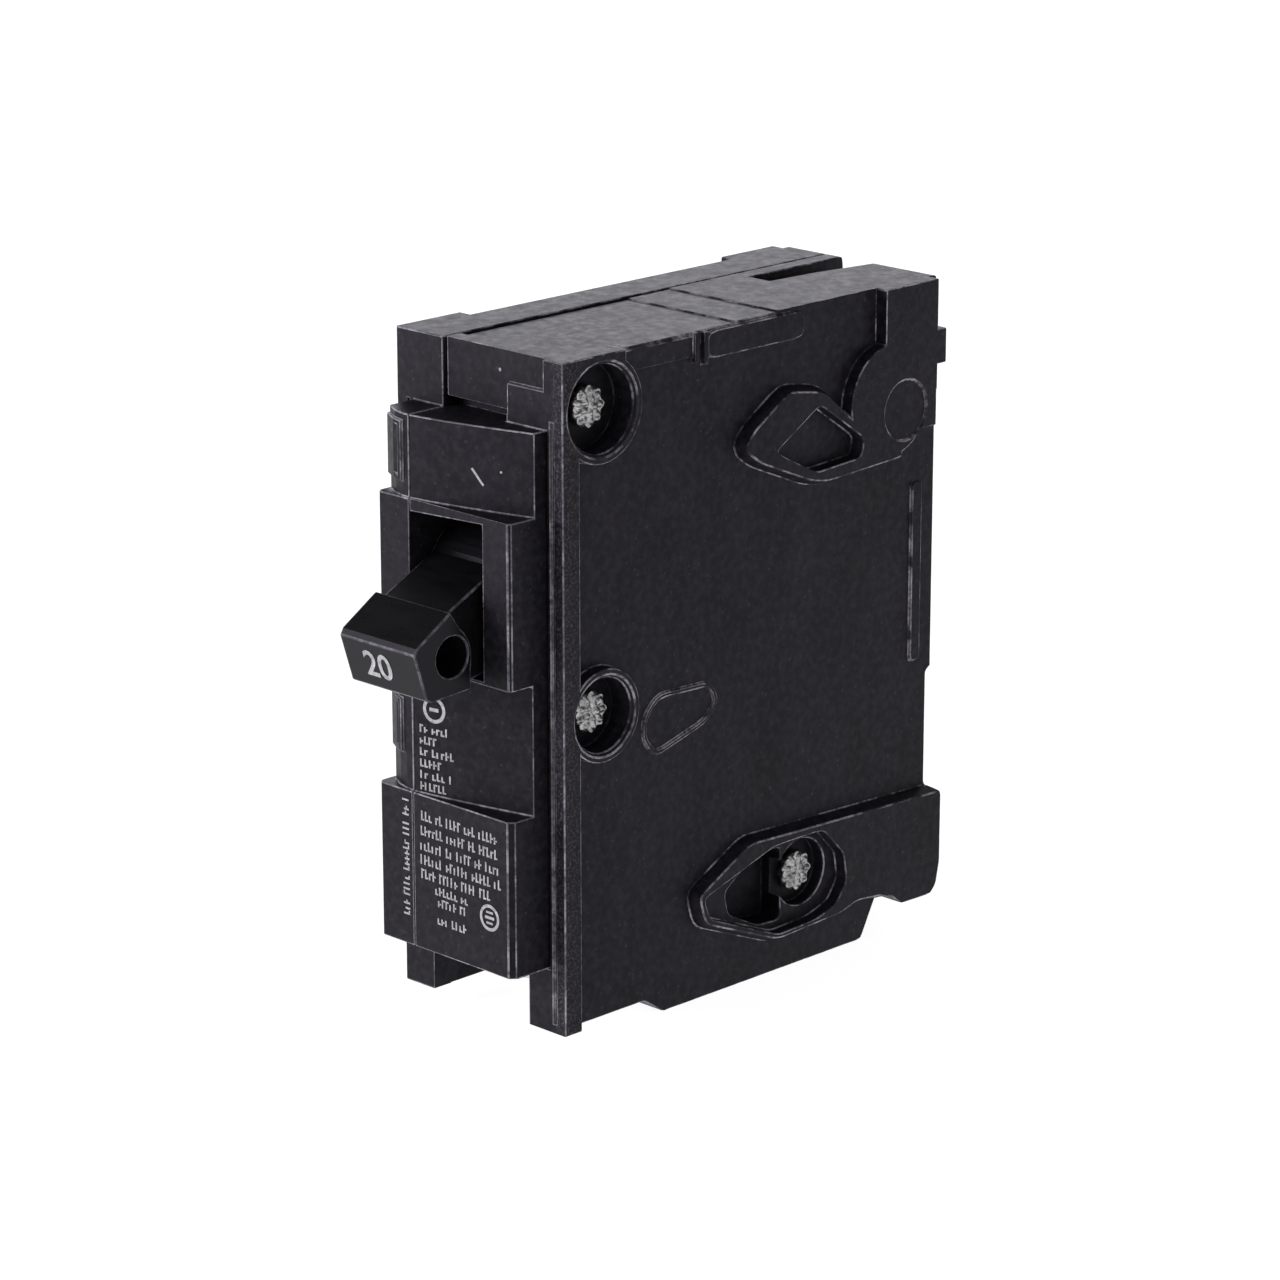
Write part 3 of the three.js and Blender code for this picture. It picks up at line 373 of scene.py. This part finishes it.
class Surface:
    """A flat page floating off some nodes. Marks drawn on it are pressed straight down onto them."""

    def __init__(self, names, origin, right, up):
        verts, faces = [], []
        for name in names:
            mesh = nodes[name].data
            first = len(verts)
            verts += [v.co.copy() for v in mesh.vertices]
            faces += [[first + i for i in p.vertices] for p in mesh.polygons]
        self.tree = BVHTree.FromPolygons(verts, faces)
        self.origin = Vector(origin)
        self.right = Vector(right).normalized()
        self.up = Vector(up).normalized()
        self.out = self.right.cross(self.up)

    def pressed(self, x, y):
        """The point of the page at x, y, laid on the surface under it."""
        start = self.origin + self.right * x + self.up * y + self.out * FAR
        hit = self.tree.ray_cast(start, -self.out)[0]
        return hit + self.out * INK_LIFT


def ink_piece(name, surface, verts, faces, body, ink):
    """A printed mark from flat points in millimetres, laid on its surface and given the ink's thickness."""
    mesh = bpy.data.meshes.new(name)
    laid = [surface.pressed(x * MM, y * MM) for x, y in verts]
    mesh.from_pydata(laid, [], faces)
    mesh.materials.append(ink)
    mesh.update()
    piece = bpy.data.objects.new(name, mesh)
    bpy.context.scene.collection.objects.link(piece)
    solid = piece.modifiers.new("ink_depth", "SOLIDIFY")
    solid.thickness = INK_DEPTH
    solid.offset = 1.0
    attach(piece, body)
    return piece


def bar(verts, faces, x0, y0, x1, y1, half):
    """Adds a straight stroke from one point to the other."""
    along = Vector((x1 - x0, y1 - y0))
    side = Vector((-along.y, along.x)).normalized() * half
    first = len(verts)
    verts += [
        (x0 - side.x, y0 - side.y), (x1 - side.x, y1 - side.y),
        (x1 + side.x, y1 + side.y), (x0 + side.x, y0 + side.y)]
    faces.append([first, first + 1, first + 2, first + 3])


def ring(verts, faces, x, y, outer, inner, parts=28):
    """Adds a plain ring round a point."""
    first = len(verts)
    for i in range(parts):
        turn = 2 * math.pi * i / parts
        for r in (inner, outer):
            verts.append((x + r * math.cos(turn), y + r * math.sin(turn)))
    for i in range(parts):
        a, b = first + 2 * i, first + 2 * ((i + 1) % parts)
        faces.append([a, a + 1, b + 1, b])


def dash_row(verts, faces, draw, x0, x1, y, height, upright=False):
    """Adds a row of word-long groups of plain short strokes, which stands for a line of small print."""
    def put(a, b, c, d, half):
        if upright:
            bar(verts, faces, -b, a, -d, c, half)
        else:
            bar(verts, faces, a, b, c, d, half)
    x = x0
    while x < x1:
        letters = draw.randint(2, 6)
        for _ in range(letters):
            if x + LETTER_WIDTH > x1:
                break
            top = y + height * draw.choice((0.72, 1.0, 1.0))
            put(x, y, x, top, PEN)
            if draw.random() < 0.75:
                level = y + (top - y) * draw.choice((0.12, 0.5, 0.88))
                put(x, level, x + LETTER_ARM, level, PEN * 0.9)
            x += LETTER_STEP
        x += WORD_GAP


def number_piece(name, text, surface, height, body, ink):
    """Generic numerals printed on a surface, centred on its origin."""
    curve = bpy.data.curves.new(name + "_curve", "FONT")
    curve.body = text
    curve.align_x = "CENTER"
    curve.align_y = "CENTER"
    curve.size = 1.0
    curve.offset = 0.015  # thickens the font's strokes
    curve.resolution_u = 4
    maker = bpy.data.objects.new(name + "_maker", curve)
    bpy.context.scene.collection.objects.link(maker)
    bpy.context.view_layer.update()
    flat = bpy.data.meshes.new_from_object(maker)
    tall = max(v.co.y for v in flat.vertices) - min(v.co.y for v in flat.vertices)
    scale = height / tall
    verts = [(v.co.x * scale, v.co.y * scale) for v in flat.vertices]
    faces = [list(p.vertices) for p in flat.polygons]
    bpy.data.objects.remove(maker)
    bpy.data.curves.remove(curve)
    bpy.data.meshes.remove(flat)
    return ink_piece(name, surface, verts, faces, body, ink)


def front_print(ink):
    """Marks printed on the case's front, in the case's own X and Z."""
    page = Surface(["base_shell", "cover_shell"], (0, 0, 0), (1, 0, 0), (0, 0, 1))
    draw = random.Random(20)

    verts, faces = [], []
    rows = ((23.9, -3.9, 8.2), (22.2, -4.0, 8.4), (20.5, -4.1, 8.3), (18.9, -4.1, 8.5), (17.3, -4.0, 7.2))
    for z, x0, x1 in rows:
        dash_row(verts, faces, draw, x0, x1, z, 1.1)
    for z, x0, x1 in ((15.9, -1.8, 3.7), (14.6, -1.4, 3.6), (12.6, -1.5, 3.9)):
        dash_row(verts, faces, draw, x0, x1, z, 0.95)
    ring(verts, faces, 6.6, 15.4, 1.5, 1.15)
    bar(verts, faces, 5.9, 15.4, 7.3, 15.4, 0.16)
    bar(verts, faces, 6.1, 16.0, 7.1, 16.0, 0.12)
    bar(verts, faces, 6.1, 14.8, 7.1, 14.8, 0.12)
    ink_piece("label_rows_lower", page, verts, faces, "case", ink)

    verts, faces = [], []
    for i, width in enumerate((3.9, 2.2, 4.6, 3.2, 4.5, 4.1)):
        dash_row(verts, faces, draw, -4.4, -4.4 + width, 33.7 - 1.3 * i, 0.9)
    ring(verts, faces, -2.5, 36.5, 1.5, 1.1)
    bar(verts, faces, -3.1, 36.5, -1.9, 36.5, 0.2)
    ink_piece("label_rows_middle", page, verts, faces, "case", ink)

    verts, faces = [], []
    dash_row(verts, faces, draw, 12.6, 26.2, 6.0, 1.0, upright=True)
    ink_piece("label_row_edge", page, verts, faces, "case", ink)

    verts, faces = [], []
    bar(verts, faces, 2.7, 63.95, 4.1, 62.25, 0.13)
    ring(verts, faces, 6.2, 63.95, 0.14, 0.03, 10)
    ring(verts, faces, 2.9, 73.9, 0.2, 0.04, 10)
    ink_piece("on_position_dash", page, verts, faces, "case", ink)


HANDLE_END = 0.12  # share of the handle's depth that its end faces lie in
NUMBER_X = 0.44  # share of the handle's width at the number's middle
NUMBER_HEIGHT = 3.15


def handle_print(ink):
    """The rating number on the handle's end face, which is the handle's foremost flat face."""
    mesh = nodes["handle"].data
    low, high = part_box("handle")
    end_y = low.y + HANDLE_END * (high.y - low.y)
    ends = [p for p in mesh.polygons if p.normal.y < -0.8 and p.center.y < end_y]
    face = max(ends, key=lambda p: p.area)
    out = Vector((0, face.normal.y, face.normal.z)).normalized()
    up = Vector((1, 0, 0)).cross(-out)
    corners = [mesh.vertices[i].co for p in ends if p.normal.dot(face.normal) > 0.999 for i in p.vertices]
    middle = sum(corners, Vector()) / len(corners)
    tops = [c.dot(up) for c in corners]
    middle += up * ((max(tops) + min(tops)) / 2 - middle.dot(up))
    middle.x = low.x + NUMBER_X * (high.x - low.x)
    page = Surface(["handle"], middle, (1, 0, 0), up)
    number_piece("rating_number", "20", page, NUMBER_HEIGHT, "handle_body", ink)


# ---------------------------------------------------------------- peened rivet ends

HEAD = {"rings": 12, "spokes": 72, "petals": 9, "cover": 0.6984, "sink": 0.2 * MM, "skirt": 0.35 * MM}


def head_height(share, turn):
    """Height of the peened metal at a share of the head's radius: a low dome beaten into petals."""
    dome = 0.3 * (1 - share ** 2)
    petal = math.exp(-((share - 0.72) / 0.17) ** 2) * (0.5 + 0.5 * math.cos(HEAD["petals"] * turn))
    inner = math.exp(-((share - 0.34) / 0.13) ** 2) * (0.5 + 0.5 * math.cos(5 * turn + 0.7))
    return (dome + 0.42 * petal + 0.34 * inner) * MM


def head_points(top, centre, radius, draw):
    """The head's middle, its rings of points from there out, and its rim again at the skirt's foot."""
    points = [(top + head_height(0, 0), centre.y, centre.z)]
    for ring_index in range(1, HEAD["rings"] + 1):
        share = ring_index / HEAD["rings"]
        for i in range(HEAD["spokes"]):
            turn = 2 * math.pi * i / HEAD["spokes"]
            out = radius * share * (1 + 0.05 * share * math.cos(HEAD["petals"] * turn))
            rough = draw.uniform(-0.015, 0.015) * MM
            points.append((
                top + head_height(share, turn) + rough,
                centre.y + out * math.cos(turn), centre.z + out * math.sin(turn)))
    rim = points[-HEAD["spokes"]:]
    return points + [(top - HEAD["skirt"], y, z) for _, y, z in rim]


def head_faces():
    """A fan round the middle, a band between each two rings, and the foot that closes the solid."""
    spokes, rings = HEAD["spokes"], HEAD["rings"]
    faces = [[0, 1 + i, 1 + (i + 1) % spokes] for i in range(spokes)]
    for row in range(rings):
        first = 1 + row * spokes
        for i in range(spokes):
            j = (i + 1) % spokes
            faces.append([first + i, first + spokes + i, first + spokes + j, first + j])
    foot = 1 + rings * spokes
    faces.append([foot + i for i in reversed(range(spokes))])
    return faces


def peened_head(node_name, finish):
    """The beaten end of a rivet on the base's side, laid over the CAD rivet's plain flare."""
    low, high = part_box(node_name)
    radius = HEAD["cover"] * (high.z - low.z) / 2
    points = head_points(high.x - HEAD["sink"], (low + high) / 2, radius, random.Random(node_name))
    mesh = bpy.data.meshes.new(node_name + "_peened_end")
    mesh.from_pydata(points, [], head_faces())
    mesh.polygons.foreach_set("use_smooth", [True] * len(mesh.polygons))
    mesh.materials.append(finish)
    piece = bpy.data.objects.new(node_name + "_peened_end", mesh)
    bpy.context.scene.collection.objects.link(piece)
    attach(piece, "case")


# ---------------------------------------------------------------- stage

FLOOR_HALF = 6.0
SOFTBOX_TINT = (0.94, 0.92, 1.0)


def make_stage():
    """A pale floor that glows, so that it renders white, under a dim white world."""
    floor_mesh = bpy.data.meshes.new("floor")
    corners = [(x * FLOOR_HALF, y * FLOOR_HALF, 0) for x, y in ((-1, -1), (1, -1), (1, 1), (-1, 1))]
    floor_mesh.from_pydata(corners, [], [[0, 1, 2, 3]])
    floor = bpy.data.objects.new("floor", floor_mesh)
    bpy.context.scene.collection.objects.link(floor)
    pale = bpy.data.materials.new("pale_floor")
    pale.use_nodes = True
    surface = pale.node_tree.nodes["Principled BSDF"]
    surface.inputs["Base Color"].default_value = (0.45, 0.45, 0.45, 1)
    surface.inputs["Roughness"].default_value = 0.9
    surface.inputs["Specular IOR Level"].default_value = 0.0
    surface.inputs["Emission Color"].default_value = (1, 1, 1, 1)
    surface.inputs["Emission Strength"].default_value = 0.92
    floor_mesh.materials.append(pale)

    world = bpy.data.worlds.new("studio")
    world.use_nodes = True
    world.node_tree.nodes["Background"].inputs[0].default_value = (1, 1, 1, 1)
    world.node_tree.nodes["Background"].inputs[1].default_value = 0.2
    bpy.context.scene.world = world


def soft_light(name, place, aim, width, height, power):
    """A softbox at one place, turned to face another. The camera doesn't see it."""
    light = bpy.data.lights.new(name, "AREA")
    light.shape = "RECTANGLE"
    light.size = width
    light.size_y = height
    light.energy = power
    light.color = SOFTBOX_TINT
    lamp = bpy.data.objects.new(name, light)
    lamp.location = place
    lamp.visible_camera = False
    lamp.rotation_mode = "QUATERNION"
    lamp.rotation_quaternion = (Vector(aim) - Vector(place)).to_track_quat("-Z", "Y")
    bpy.context.scene.collection.objects.link(lamp)


CAMERA = {"azimuth": 44.8865, "elevation": 16.5676, "roll": -0.0472, "distance": 522.14 * MM}
CAMERA_TARGET = Vector((-5.88635, 7.05, 36.289)) * MM
CAMERA_LENS = 130.509
CAMERA_SENSOR = 36.0


def make_camera():
    """The photo's camera, looking at its target from a turn, a rise and a distance."""
    turn = math.radians(CAMERA["azimuth"])
    rise = math.radians(CAMERA["elevation"])
    back = Vector((
        math.sin(turn) * math.cos(rise), -math.cos(turn) * math.cos(rise), math.sin(rise)))
    lens = bpy.data.cameras.new("camera")
    lens.lens = CAMERA_LENS
    lens.sensor_width = CAMERA_SENSOR
    lens.clip_start = 0.01
    lens.clip_end = 30.0
    camera = bpy.data.objects.new("camera", lens)
    bpy.context.scene.collection.objects.link(camera)
    camera.location = CAMERA_TARGET + back * CAMERA["distance"]
    camera.rotation_mode = "QUATERNION"
    level = (-back).to_track_quat("-Z", "Y")
    camera.rotation_quaternion = level @ Quaternion((0, 0, 1), math.radians(CAMERA["roll"]))
    bpy.context.scene.camera = camera


def make_lights():
    """The three softboxes, each aimed at the breaker's middle."""
    middle = (0, 0, 0.04)
    soft_light("back_softbox", (-1.0, 1.0, 0.52), middle, 1.3, 0.5, 7.6)
    soft_light("front_softbox", (-0.7, -1.0, 0.3), middle, 0.8, 0.6, 13.5)
    soft_light("side_softbox", (1.1, -0.1, 0.6), middle, 0.6, 0.6, 1.5)


# ---------------------------------------------------------------- assembly

make_camera()
make_stage()
make_lights()
bpy.context.scene.view_settings.view_transform = "Standard"
materials = make_materials()
dress_all(materials)
for rivet_name in FINISH_OF["rivet"]:
    peened_head(rivet_name, materials["rivet"][0])
white_ink = print_ink("print_ink")
front_print(white_ink)
handle_print(white_ink)
